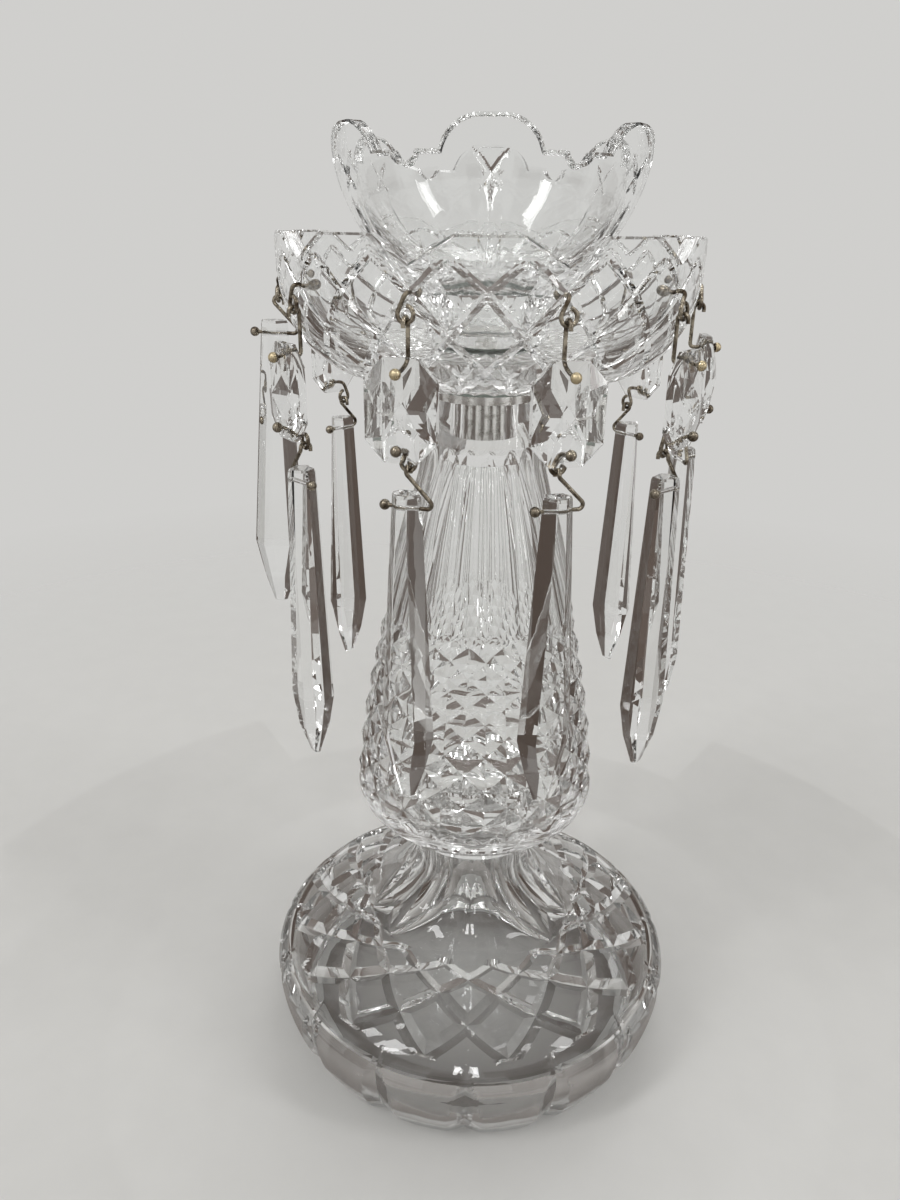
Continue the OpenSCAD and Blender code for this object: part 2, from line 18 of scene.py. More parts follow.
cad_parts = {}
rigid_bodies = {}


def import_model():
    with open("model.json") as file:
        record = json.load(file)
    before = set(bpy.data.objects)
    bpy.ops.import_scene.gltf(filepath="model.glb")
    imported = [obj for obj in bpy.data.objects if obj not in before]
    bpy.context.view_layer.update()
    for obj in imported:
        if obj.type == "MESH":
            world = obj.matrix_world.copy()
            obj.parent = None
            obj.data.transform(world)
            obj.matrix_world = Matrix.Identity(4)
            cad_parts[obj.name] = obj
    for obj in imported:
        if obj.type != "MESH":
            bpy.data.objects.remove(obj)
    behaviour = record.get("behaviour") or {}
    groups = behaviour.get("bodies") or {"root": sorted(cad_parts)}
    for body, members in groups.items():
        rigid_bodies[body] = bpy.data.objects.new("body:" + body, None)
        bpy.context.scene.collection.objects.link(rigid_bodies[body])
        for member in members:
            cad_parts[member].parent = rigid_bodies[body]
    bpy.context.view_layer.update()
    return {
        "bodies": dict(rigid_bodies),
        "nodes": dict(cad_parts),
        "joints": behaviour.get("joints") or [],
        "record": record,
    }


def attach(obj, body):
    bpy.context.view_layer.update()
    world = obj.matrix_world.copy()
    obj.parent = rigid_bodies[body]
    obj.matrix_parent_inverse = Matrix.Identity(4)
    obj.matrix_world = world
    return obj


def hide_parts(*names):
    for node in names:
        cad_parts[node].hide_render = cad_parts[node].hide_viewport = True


LOG = logging.getLogger("lustre")
MM = 0.001
# Gap left between glass faces that would lie on each other, in mm.
SEAM = 0.08
# Faces that turn by more than this many degrees meet in a crisp edge.
CUT_ANGLE = 9.0
# Angle between neighbouring chains of drops.
CHAIN_STEP = 36.0
# A radius that no wire reaches, in mm: wire without golden heads.
NO_HEADS = 1000.0
Array = np.ndarray
Material = bpy.types.Material
Piece = bpy.types.Object
Socket = bpy.types.NodeSocket
Values = dict[Union[str, int], Any]
Colour = tuple[float, float, float]
Pairs = Sequence[tuple[float, float]]
Bend = tuple[tuple[float, float], ...]


class Fade(Enum):
    """How far from the axis a matt surface covers: a reach in metres, and (share of it, cover) stops."""

    NONE = (1.0, ((0.9, 1.0), (1.0, 0.0)))
    # The next two grade the dark rings inside and outside the foot's rim: painted contact shade, darkest
    # next to the rim and fading away from it, seen only through the glass.
    SHADE_INWARD = (0.047, ((0.15, 0.0), (0.97, 0.7)))
    SHADE_OUTWARD = (0.1, ((0.57, 0.7), (0.98, 0.15)))
    FLOOR = (0.62, ((0.3, 1.0), (0.95, 0.0)))


class Level:
    """A shader value that builds Math nodes when it is used in an expression."""

    def __init__(self, graph: "Graph", socket: Any) -> None:
        """Wraps an output socket of a graph."""
        self.graph = graph
        self.socket = socket

    def _math(self, operation: str, first: Any, second: Any) -> "Level":
        """Adds one Math node and returns its result."""
        return self.graph.level("ShaderNodeMath", {"operation": operation}, {0: first, 1: second}, "Value")

    def __add__(self, other: Any) -> "Level":
        """self + other."""
        return self._math("ADD", self, other)

    def __sub__(self, other: Any) -> "Level":
        """self - other."""
        return self._math("SUBTRACT", self, other)

    def __rsub__(self, other: Any) -> "Level":
        """other - self."""
        return self._math("SUBTRACT", other, self)

    def __mul__(self, other: Any) -> "Level":
        """self * other."""
        return self._math("MULTIPLY", self, other)

    def __gt__(self, other: Any) -> "Level":
        """1 where self > other, else 0."""
        return self._math("GREATER_THAN", self, other)

    def __lt__(self, other: Any) -> "Level":
        """1 where self < other, else 0."""
        return self._math("LESS_THAN", self, other)

    __radd__ = __add__
    __rmul__ = __mul__


@dataclass(frozen=True)
class Grain:
    """A noise per metre, with the levels of it that a mask stretches to 0 and 1."""

    scale: float
    detail: float
    rough: float
    low: float = 0.0
    high: float = 1.0


class Graph:
    """A material's or the world's node tree, filled by one generic method."""

    def __init__(self, owner: Union[Material, bpy.types.World]) -> None:
        """Starts from an empty tree."""
        owner.use_nodes = True
        self.tree = owner.node_tree
        self.tree.nodes.clear()

    def node(self, kind: str, settings: dict[str, Any], values: Values) -> bpy.types.Node:
        """Adds a node, sets it up, then fills its sockets.

        Args:
            kind: The node's type name.
            settings: Attributes of the node, set first; "stops" gives a ramp's (place, grey level) pairs.
            values: Socket name or number to a Level, an output socket, or a plain value.

        Returns:
            The new node.
        """
        made = self.tree.nodes.new(kind)
        for name, value in settings.items():
            if name == "stops":
                for stop, (place, grey) in zip(made.color_ramp.elements, value):
                    stop.position = place
                    stop.color = (grey, grey, grey, 1.0)
            else:
                setattr(made, name, value)
        for name, value in values.items():
            if isinstance(value, Level):
                self.tree.links.new(value.socket, made.inputs[name])
            elif isinstance(value, Socket):
                self.tree.links.new(value, made.inputs[name])
            else:
                made.inputs[name].default_value = value
        return made

    def level(self, kind: str, settings: dict[str, Any], values: Values, out: str) -> Level:
        """Adds a node and returns one of its outputs as a Level."""
        return Level(self, self.node(kind, settings, values).outputs[out])

    def place(self) -> Socket:
        """Object coordinates, in metres."""
        return self.node("ShaderNodeTexCoord", {}, {}).outputs["Object"]

    def noise(self, grain: Grain) -> Level:
        """Noise on Object coordinates."""
        values = {
            "Vector": self.place(),
            "Scale": grain.scale,
            "Detail": grain.detail,
            "Roughness": grain.rough,
        }
        return self.level("ShaderNodeTexNoise", {}, values, "Fac")

    def ramp(self, source: Level, stops: Pairs) -> Level:
        """Runs a value through a grey ramp of two stops."""
        return self.level("ShaderNodeValToRGB", {"stops": stops}, {"Fac": source}, "Color")

    def mask(self, grain: Grain) -> Level:
        """Noise with its low and high levels stretched to 0 and 1."""
        return self.ramp(self.noise(grain), ((grain.low, 0.0), (grain.high, 1.0)))

    def blend(self, share: Level, first: Any, second: Any) -> Socket:
        """Mixes two colours by a share."""
        return self.node("ShaderNodeMix", {"data_type": "RGBA"}, {0: share, 6: first, 7: second}).outputs[2]

    def bump(self, height: Level, strength: float, depth: float) -> Socket:
        """Normal of a bumpy surface, of a depth in metres."""
        values = {"Strength": strength, "Distance": depth, "Height": height}
        return self.node("ShaderNodeBump", {}, values).outputs[0]

    def surface(self, values: Values) -> Socket:
        """A Principled shader with the given sockets."""
        return self.node("ShaderNodeBsdfPrincipled", {}, values).outputs[0]

    def output(self, shader: Socket) -> None:
        """Ends a material with its shader."""
        self.node("ShaderNodeOutputMaterial", {}, {"Surface": shader})


def new_material(name: str) -> tuple[Material, Graph]:
    """A new material and its empty graph."""
    material = bpy.data.materials.new(name)
    return material, Graph(material)


def opaque(colour: Colour) -> tuple[float, float, float, float]:
    """Adds a full alpha to a colour."""
    return (*colour, 1.0)


@dataclass(frozen=True)
class GlassFinish:
    """Clear lead crystal, hand polished, with faint haze and finger marks."""

    name: str
    tint: Colour = (0.985, 0.99, 0.988)
    ior: float = 1.55
    haze: float = 0.05
    speck_share: float = 1.5
    ripple: float = 0.06
    ripple_depth: float = 0.0004
    smudges: Grain = Grain(55.0, 4.0, 0.6, 0.45, 0.8)
    specks: Grain = Grain(900.0, 2.0, 0.5, 0.7, 0.78)
    waves: Grain = Grain(140.0, 2.0, 0.45)

    def make(self) -> Material:
        """Builds the material: roughness from smudges and specks, bump from polishing waves.

        Returns:
            The finished material.
        """
        material, graph = new_material(self.name)
        marks = graph.mask(self.specks) * (self.haze * self.speck_share)
        values = {
            "Base Color": opaque(self.tint),
            "Roughness": graph.mask(self.smudges) * self.haze + marks,
            "IOR": self.ior,
            "Transmission Weight": 1.0,
            "Normal": graph.bump(graph.noise(self.waves), self.ripple, self.ripple_depth),
        }
        graph.output(graph.surface(values))
        return material


@dataclass(frozen=True)
class MottledFinish:
    """A surface whose stain mixes two colours and dulls the sheen, over a fine relief."""

    name: str
    colour: Colour
    stained: Colour
    stain: Grain
    sheen: float
    dulling: float
    metal: float = 1.0
    clearness: float = 0.0
    ior: float = 1.5
    relief: float = 0.1
    relief_depth: float = 0.0001
    relief_grain: Union[Grain, None] = None

    def tone(self, graph: Graph, stain: Level) -> Socket:
        """Colour of the surface, stained by a share."""
        return graph.blend(stain, opaque(self.colour), opaque(self.stained))

    def make(self) -> Material:
        """Builds the material; the relief follows its own grain, or else the stain.

        Returns:
            The finished material.
        """
        material, graph = new_material(self.name)
        stain = graph.mask(self.stain)
        height = graph.noise(self.relief_grain) if self.relief_grain else stain
        values = {
            "Base Color": self.tone(graph, stain),
            "Metallic": self.metal,
            "Roughness": stain * self.dulling + self.sheen,
            "Transmission Weight": self.clearness,
            "IOR": self.ior,
            "Normal": graph.bump(height, self.relief, self.relief_depth),
        }
        graph.output(graph.surface(values))
        return material


@dataclass(frozen=True)
class WireFinish(MottledFinish):
    """Plated wire gone brown, bright where it rubs, with golden heads beyond a radius and a height."""

    colour: Colour = (0.44, 0.39, 0.31)
    stained: Colour = (0.075, 0.055, 0.038)
    stain: Grain = Grain(420.0, 5.0, 0.65, 0.38, 0.62)
    sheen: float = 0.16
    dulling: float = 0.28
    relief: float = 0.25
    relief_grain: Union[Grain, None] = Grain(2600.0, 2.0, 0.6)
    gold: Colour = (0.62, 0.52, 0.34)
    head_from: float = NO_HEADS
    head_low_z: float = 200.0

    def tone(self, graph: Graph, stain: Level) -> Socket:
        """Stained plate, and gold where the distance from the axis and the height say so.

        Args:
            graph: The material's graph.
            stain: Share of the stain.

        Returns:
            The colour.
        """
        place = graph.place()
        flat = graph.node("ShaderNodeVectorMath", {"operation": "MULTIPLY"}, {0: place, 1: (1.0, 1.0, 0.0)})
        out = graph.level("ShaderNodeVectorMath", {"operation": "LENGTH"}, {0: flat.outputs[0]}, "Value")
        high = graph.level("ShaderNodeSeparateXYZ", {}, {0: place}, "Z")
        head = (out > self.head_from * MM) * (high > self.head_low_z * MM)
        return graph.blend(head, super().tone(graph, stain), opaque(self.gold))


@dataclass(frozen=True)
class PlateFinish(MottledFinish):
    """Bright plated metal with spots of wear."""

    colour: Colour = (0.88, 0.87, 0.85)
    stained: Colour = (0.42, 0.40, 0.36)
    stain: Grain = Grain(700.0, 4.0, 0.6, 0.5, 0.75)
    sheen: float = 0.2
    dulling: float = 0.16


@dataclass(frozen=True)
class WasherFinish(MottledFinish):
    """Greenish translucent washer, a little cloudy."""

    colour: Colour = (0.60, 0.67, 0.61)
    stained: Colour = (0.44, 0.50, 0.45)
    stain: Grain = Grain(300.0, 4.0, 0.6, 0.35, 0.7)
    sheen: float = 0.25
    dulling: float = 0.2
    metal: float = 0.0
    clearness: float = 0.45
    ior: float = 1.48
    relief_depth: float = 0.0002


@dataclass(frozen=True)
class MattFinish:
    """Matt floor or felt with a faint grain, that turns clear with the distance from the axis."""

    name: str
    colour: Colour
    grain: float
    fade: Fade
    darker: float = 0.97
    sheen: float = 0.5

    def make(self) -> Material:
        """Builds the material: a grained colour, mixed with nothing where its cover ends.

        Returns:
            The finished material.
        """
        material, graph = new_material(self.name)
        mottle = graph.mask(Grain(self.grain, 6.0, 0.6, 0.3, 0.7))
        shade = tuple(self.darker * share for share in self.colour)
        tone = graph.blend(mottle, opaque(self.colour), opaque(shade))
        surface = graph.surface({"Base Color": tone, "Roughness": self.sheen})
        reach, stops = self.fade.value
        out = graph.level("ShaderNodeVectorMath", {"operation": "LENGTH"}, {0: graph.place()}, "Value")
        clear = 1.0 - graph.ramp(out * (1.0 / reach), stops)
        nothing = graph.node("ShaderNodeBsdfTransparent", {}, {}).outputs[0]
        graph.output(graph.node("ShaderNodeMixShader", {}, {0: clear, 1: surface, 2: nothing}).outputs[0])
        return material


def coat(piece: Piece, material: Material) -> None:
    """Puts one material into every slot of a piece."""
    if not piece.material_slots:
        piece.data.materials.append(material)
    for slot in piece.material_slots:
        slot.material = material
    LOG.info("%s: finish %s", piece.name, material.name)


def new_piece(name: str, points: Array, faces: Array) -> Piece:
    """A new object at the origin, from points in metres and the faces between them."""
    mesh = bpy.data.meshes.new(name)
    mesh.from_pydata(points, [], faces)
    mesh.update()
    piece = bpy.data.objects.new(name, mesh)
    bpy.context.scene.collection.objects.link(piece)
    return piece


def seat(piece: Piece, body: str, node: str) -> Piece:
    """Lets a piece ride on a body in the place of a node, and returns it."""
    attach(piece, body)
    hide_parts(node)
    LOG.info("%s: %d faces, rides %s", piece.name, len(piece.data.polygons), body)
    return piece


def held(value: Array) -> Array:
    """The value, held between 0 and 1."""
    return np.clip(value, 0.0, 1.0)


class Profile:
    """A polyline of (radius, height) that is read by its length, with the glass on its left."""

    REACH = 0.6
    TINY = 1e-9

    def __init__(self, points: Array) -> None:
        """Keeps the points and the length from the start to each of them."""
        self.points = points
        steps = np.hypot(*np.diff(points, axis=0).T)
        self.lengths = np.concatenate([[0.0], np.cumsum(steps)])

    def at(self, length: Array) -> tuple[Array, Array]:
        """Radius and height at lengths from the start, in the shape of the lengths."""
        return tuple(np.interp(length, self.lengths, self.points[:, axis]) for axis in (0, 1))

    def cut(self, length: Array, depth: Array) -> tuple[Array, Array]:
        """Radius and height at a length, moved square to the profile into the glass by a depth.

        Args:
            length: Lengths from the start.
            depth: Depth of the cut there.

        Returns:
            Radius and height.
        """
        r_low, z_low = self.at(length - self.REACH)
        r_high, z_high = self.at(length + self.REACH)
        run = np.maximum(np.hypot(r_high - r_low, z_high - z_low), self.TINY)
        r, z = self.at(length)
        return r - depth * (z_high - z_low) / run, z + depth * (r_high - r_low) / run

    def length_at(self, height: Array) -> Array:
        """Length at which a rising profile has a height."""
        return np.interp(height, self.points[:, 1], self.lengths)


def lattice(across: Array, along: Array, share: float, nudge: float = 1e-6) -> tuple[Array, Array]:
    """Crossing mitre cuts on a grid of half diamonds.

    In each half-diamond cell one cut runs corner to corner, rising and falling in turn like a
    chequerboard. The depth is 1 on the cut and falls in a straight line to 0 at a share of the way to
    the other corners, so a share of 1 gives full pyramids and a small one narrow grooves.

    Args:
        across: Place round the axis, in cells; a crossing lies where both places are even or both odd.
        along: Place along the profile, in cells.
        share: Width of a cut's side, in cells.
        nudge: Keeps a place on a cell's first edge in that cell.

    Returns:
        Depth from 0 to 1, and where the cut falls instead of rising.
    """
    column, row = np.floor(across + nudge), np.floor(along + nudge)
    p, q = across - column, along - row
    falling = (column + row) % 2 > 0.5
    gap = np.where(falling, np.abs(p + q - 1.0), np.abs(p - q))
    return held(1.0 - gap / share), falling


def flute(across: Array) -> Array:
    """Hollow flutes: a parabola from 0 at each sharp ridge, at whole numbers, to 1 in the middle."""
    return 1.0 - (2.0 * (across - np.floor(across)) - 1.0) ** 2


def folded(angle: Array, period: float) -> Array:
    """Angle from the nearest multiple of a period, signed."""
    return angle - period * np.round(angle / period)


def bands(edges: Sequence[Array], counts: Sequence[int]) -> tuple[Array, Array]:
    """Rows between edge curves, in equal steps.

    Args:
        edges: Curves round the axis, from low to high.
        counts: Number of rows from each edge to the next.

    Returns:
        The rows, and each row's place counted in bands.
    """
    rows, places = [], []
    for number, count in enumerate(counts):
        steps = np.arange(count)[:, None] / count
        rows.append(edges[number] * (1.0 - steps) + edges[number + 1] * steps)
        places.append(number + steps + 0.0 * edges[number])
    rows.append(edges[-1][None, :])
    places.append(np.full((1, edges[-1].size), float(len(counts))))
    return np.vstack(rows), np.vstack(places)


def curve(aims: Pairs, count: int) -> Array:
    """Points on a cubic curve: (1-t)^3 a + 3(1-t)^2 t b + 3(1-t) t^2 c + t^3 d for four aims a to d."""
    t = np.linspace(0.0, 1.0, count)[:, None]
    a, b, c, d = (np.array(aim)[None, :] for aim in aims)
    return (1 - t) ** 3 * a + 3 * (1 - t) ** 2 * t * b + 3 * (1 - t) * t**2 * c + t**3 * d


@dataclass
class Shell:
    """A closed glass body: rings of points round the axis, in order round the wall's section."""

    name: str
    columns: int
    body: str
    angles: Array = field(init=False)
    rings: list[Array] = field(init=False, default_factory=list)
    turns: list[Array] = field(init=False, default_factory=list)

    def __post_init__(self) -> None:
        """Works out the columns' angles."""
        self.angles = np.arange(self.columns) * 360.0 / self.columns

    def add(self, radius: Array, height: Array, falling: Union[Array, None] = None) -> None:
        """Adds rows of points (r sin a, -r cos a, z).

        Args:
            radius: Radius of each point, in rows and columns.
            height: Height of each point.
            falling: Which cells above the points are split along the falling diagonal; none if left out.
        """
        radius, height = np.atleast_2d(radius), np.atleast_2d(height)
        turn = np.radians(self.angles)[None, :]
        shape = (radius.shape[0], self.columns)
        radius, height = np.broadcast_to(radius, shape), np.broadcast_to(height, shape)
        self.rings.append(np.stack([radius * np.sin(turn), -radius * np.cos(turn), height], axis=2))
        self.turns.append(np.zeros(shape, bool) if falling is None else np.broadcast_to(falling, shape))

    def plain(self, points: Union[Pairs, Array]) -> None:
        """Adds uncut rings through (radius, height) points."""
        pairs = np.array(points, float)
        self.add(pairs[:, :1] + 0.0 * self.angles, pairs[:, 1:] + 0.0 * self.angles)

    def build(self, node: str) -> Piece:
        """Joins the rings into one closed mesh of triangles that stands for a node.

        Args:
            node: The node of the frame that the shell replaces.

        Returns:
            The new piece.
        """
        points = np.concatenate(self.rings) * MM
        falling = np.concatenate(self.turns)
        rows, columns = falling.shape
        index = np.arange(rows * columns).reshape(rows, columns)
        a, d = index, np.roll(index, -1, axis=0)
        b, c = np.roll(a, -1, axis=1), np.roll(d, -1, axis=1)
        rising = np.stack([a, b, c, a, c, d], axis=2).reshape(-1, 2, 3)
        dropping = np.stack([a, b, d, b, c, d], axis=2).reshape(-1, 2, 3)
        triangles = np.where(falling.reshape(-1, 1, 1), dropping, rising).reshape(-1, 3)
        piece = new_piece(self.name, points.reshape(-1, 3), triangles)
        piece.data.polygons.foreach_set("use_smooth", np.ones(len(triangles), bool))
        piece.data.set_sharp_from_angle(angle=math.radians(CUT_ANGLE))
        piece.data.update()
        return seat(piece, self.body, node)


class GlassPart:
    """A piece of cut glass that stands for a node of the frame."""

    def build(self) -> Piece:
        """Builds the piece; each part has its own way."""
        raise NotImplementedError

    def dress(self, glass: Material) -> None:
        """Builds the piece and gives it its finish and slot."""
        piece = self.build()
        coat(piece, glass)


@dataclass
class Foot(GlassPart):
    """Hollow foot: tall mitres at the rim, a band of diamonds, three clear panels, flutes to the neck."""

    rim_r: float = 54.0
    max_r: float = 61.0
    max_z: float = 21.0
    shoulder: float = 15.0
    dome_z: float = 61.0
    sweep: float = 27.0
    neck_r: float = 16.7
    neck_ease: float = 1.0
    top_z: float = 66.3
    wall: float = 5.0
    passage_r: float = 9.0
    rim_flat: tuple[float, float] = (0.6, 2.4)
    around: int = 15
    mitre_z: float = 29.0
    mitre_depth: float = 1.6
    mitre_half: float = 4.6
    rows_z: tuple[float, ...] = (29.3, 33.2, 36.2, 38.0, 39.6)
    cut_depth: float = 1.5
    cut_share: float = 0.375
    panels: int = 3
    panel_half: float = 48.0
    panel_z: float = 50.0
    panel_depth: float = 0.8
    arch_gap: float = 0.4
    arch_rise: float = 0.9
    point_rise: float = 3.0
    flute_depth: float = 1.1
    flute_start: float = 0.125
    flute_taper: float = 0.6
    neck_share: float = 0.4
    columns: int = 32
    rows: tuple[int, ...] = (40, 16, 16, 16, 16, 12, 20)
    steps: tuple[int, int] = (60, 160)
    inner_step: int = 4

    def side(self, wall: float, low_r: float) -> Array:
        """Outline of the foot: a parabola up to the widest line, then a cubic curve swept in to the neck.

        Args:
            wall: Distance inside the outer outline.
            low_r: Radius at the neck.

        Returns:
            Points of radius and height, from the rim upwards.
        """
        u = np.linspace(0.0, 1.0, self.steps[0])
        wide, rise = self.max_r - wall, self.dome_z - wall
        low = np.stack([wide - (self.max_r - self.rim_r) * (1 - u) ** 2, self.max_z * u], axis=1)
        shoulder = (wide, self.max_z + self.shoulder - wall)
        aims = [(wide, self.max_z), shoulder, (low_r, rise - self.sweep), (low_r, rise)]
        return np.concatenate([low, curve(aims, self.steps[1])[1:]])

    def arch(self, angles: Array) -> Array:
        """Height where the flutes end: sine arches amid a panel, straight sides, a point between panels.

        Args:
            angles: Angles of the columns.

        Returns:
            The height at each angle.
        """
        step = 360.0 / self.around
        off = np.abs(folded(angles, 360.0 / self.panels))
        low, gap = self.rows_z[-1] + self.arch_gap, 180.0 / self.panels - self.panel_half
        middle = self.panel_z + self.arch_rise * np.sin(math.pi * off / step)
        sides = low + (self.panel_z - low) * (self.panel_half - off) / (self.panel_half - step)
        between = low + self.point_rise * (off - self.panel_half) / gap
        return np.where(off < step, middle, np.where(off < self.panel_half, sides, between))

    def mitre_cuts(self, angles: Array, surface: tuple[Array, Array]) -> Array:
        """V cuts with pointed arch tops: depth d(1 - (z/h)^4) in the middle, less its share of the way out.

        Args:
            angles: Angles of the columns.
            surface: Radius and height of the uncut surface.

        Returns:
            Depth of the cuts.
        """
        radius, height = surface
        off = np.abs(np.radians(folded(angles, 360.0 / self.around)) * radius)
        fade = 1.0 - held(height / self.mitre_z) ** 4
        return np.clip(self.mitre_depth * (fade - off / self.mitre_half), 0.0, None)

    def build(self) -> Piece:
        """Builds the foot: mitres, lattice, hollowed panels and flutes, band by band up the outline.

        Returns:
            The foot's piece.
        """
        shell = Shell("foot_glass", self.around * self.columns, "stand")
        angles = shell.angles
        flat = 0.0 * angles
        outside = Profile(self.side(0.0, self.neck_r))
        marks = [outside.length_at(z + flat) for z in self.rows_z]
        edges = [flat, *marks, outside.length_at(self.arch(angles)), outside.lengths[-1] + flat]
        length, place = bands(edges, self.rows)
        last = float(len(self.rows_z))
        cells = angles * self.around / 180.0 + 0.0 * length
        cut, falling = lattice(cells, place, self.cut_share)
        inside = (place >= 1.0) & (place <= last)
        depth = np.where(inside, self.cut_depth * cut, self.mitre_cuts(angles, outside.at(length)))
        across = held(place - last)
        panel = self.panel_depth * 4.0 * across * (1.0 - across)
        depth = np.where((place > last) & (place < last + 1.0), panel, depth)
        ray = held(place - last - 1.0)
        scoop = flute(cells / 2.0) * held(ray / self.flute_start) * (1.0 - self.flute_taper * ray)
        depth = np.where(place > last + 1.0, self.flute_depth * scoop, depth)
        shell.add(*outside.cut(length, depth), falling & inside & (place < last))
        hollow = self.flute_depth * self.neck_share * flute(cells[:1] / 2.0)
        shell.add(self.neck_r - hollow, self.top_z - self.neck_ease + flat)
        top = self.top_z - SEAM
        shell.plain([(self.neck_r, top), (self.passage_r, top)])
        shell.plain(self.side(self.wall, self.passage_r)[:: -self.inner_step])
        inner_r, outer_r = self.rim_r - self.wall + self.rim_flat[0], self.rim_r - self.rim_flat[1]
        shell.plain([(inner_r, 0.0), (outer_r, 0.0)])
        return shell.build("foot")


@dataclass
class Pillar(GlassPart):
    """Hollow tapered pillar on a disc: pyramids below, long flutes above, a plain cap under the collar."""

    base_z: float = 66.3
    height: float = 128.0
    disc_r: float = 20.5
    disc_h: float = 6.7
    edge: float = 1.0
    bevel: float = 0.6
    heel_r: float = 24.0
    heel_step: float = 1.0
    max_r: float = 34.2
    max_z: float = 18.0
    belly: float = 0.2
    flare: float = 7.0
    flare_from: float = 0.77
    top_r: float = 12.0
    wall: float = 4.5
    cap: float = 16.0
    passage_r: float = 9.0
    bush_r: float = 5.5
    bush_h: float = 10.0
    around: int = 18
    turn: float = -5.0
    rows_z: tuple[float, ...] = (
        83.3, 88.1, 93.0, 97.8, 102.7, 107.5, 112.4, 116.4, 120.4, 124.4, 128.4, 132.4, 136.3
    )
    cut_depth: float = 1.0
    cut_ease: float = 0.6
    zigzag: float = 1.6
    flute_top_z: float = 184.0
    flute_depth: float = 1.0
    flute_in: float = 0.02
    flute_out: float = 0.12
    flute_taper: float = 0.35
    columns: int = 16
    rows: tuple[int, int, int, int] = (24, 8, 60, 10)
    steps: tuple[int, int] = (24, 120)
    inner_step: int = 2

    def outline(self, wall: float, low: tuple[float, float], top: tuple[float, float]) -> Array:
        """Outline above the disc: a quarter ellipse heel, then a cubic curve to the top.

        Args:
            wall: Distance inside the outer outline.
            low: Radius and height at which the heel starts, above the base.
            top: Radius and height at which the curve ends.

        Returns:
            Points of radius and height, from the heel upwards.
        """
        a = np.linspace(0.0, math.pi / 2, self.steps[0])
        wide = self.max_r - wall
        heel = [low[0] + (wide - low[0]) * np.sin(a), self.max_z - (self.max_z - low[1]) * np.cos(a)]
        aims = [
            (wide, self.max_z),
            (wide, self.max_z + self.height * self.belly),
            (self.top_r + self.flare - wall, self.height * self.flare_from),
            top,
        ]
        points = np.concatenate([np.stack(heel, axis=1), curve(aims, self.steps[1])[1:]])
        return points + np.array([[0.0, self.base_z]])

    def cuts(self, cells: Array, place: Array) -> tuple[Array, Array]:
        """Depth of the pyramids and of the flutes above them, that fade out towards the cap.

        Args:
            cells: Place round the axis, in half diamonds.
            place: Place up the outline, in bands.

        Returns:
            The depth, and which cells are split along the falling diagonal.
        """
        last = float(len(self.rows_z))
        cut, falling = lattice(cells + 0.0 * place, np.clip(place - 1.0, 0.0, last - 1.0), 1.0)
        ends = held((place - 1.0) / self.cut_ease)
        depth = np.where((place >= 1.0) & (place <= last), self.cut_depth * cut * ends, 0.0)
        up = held(place - last)
        fade = held(up / self.flute_in) * np.sqrt(held((1.0 - up) / self.flute_out))
        hollow = self.flute_depth * flute(cells / 2.0 + 0.5) * fade * (1.0 - self.flute_taper * up)
        return np.where(place > last, hollow, depth), falling & (place >= 1.0) & (place < last)

    def build(self) -> Piece:
        """Builds the pillar: from the hollow's top down, under the disc, up the outside to the bush.

        Returns:
            The pillar's piece.
        """
        shell = Shell("pillar_glass", self.around * self.columns, "stand")
        angles = shell.angles
        flat = 0.0 * angles
        heel_z = self.disc_h + self.heel_step
        outside = Profile(self.outline(0.0, (self.heel_r, heel_z), (self.top_r, self.height)))
        cells = (angles - self.turn) * self.around / 180.0
        points = self.zigzag * 2.0 * np.abs(cells / 2.0 - np.round(cells / 2.0))
        marks = [outside.length_at(z + flat) for z in self.rows_z[:-1]]
        marks.append(outside.length_at(self.rows_z[-1] + points))
        edges = [flat, *marks, outside.length_at(self.flute_top_z + flat), outside.lengths[-1] + flat]
        heel_rows, diamond_rows, flute_rows, cap_rows = self.rows
        length, place = bands(edges, (heel_rows, *[diamond_rows] * (len(marks) - 1), flute_rows, cap_rows))
        depth, falling = self.cuts(cells, place)
        inner_low = (self.heel_r - self.wall, heel_z + self.wall)
        inside = self.outline(self.wall, inner_low, (self.top_r - self.wall, self.height - self.cap))
        low, disc = self.base_z, self.base_z + self.disc_h
        shell.plain([(0.0, inside[-1][1])])
        shell.plain(inside[:: -self.inner_step])
        shell.plain([(self.passage_r, disc), (self.passage_r, low), (self.disc_r - self.edge, low)])
        shell.plain([(self.disc_r, low + self.edge), (self.disc_r, disc - self.edge)])
        shell.plain([(self.disc_r + self.bevel, disc)])
        shell.add(*outside.cut(length, depth), falling)
        top, bore = self.base_z + self.height - SEAM, self.bush_r + SEAM
        bush = top - self.bush_h
        shell.plain([(self.top_r - self.bevel, top), (bore, top), (bore, bush), (0.0, bush)])
        return shell.build("pillar")


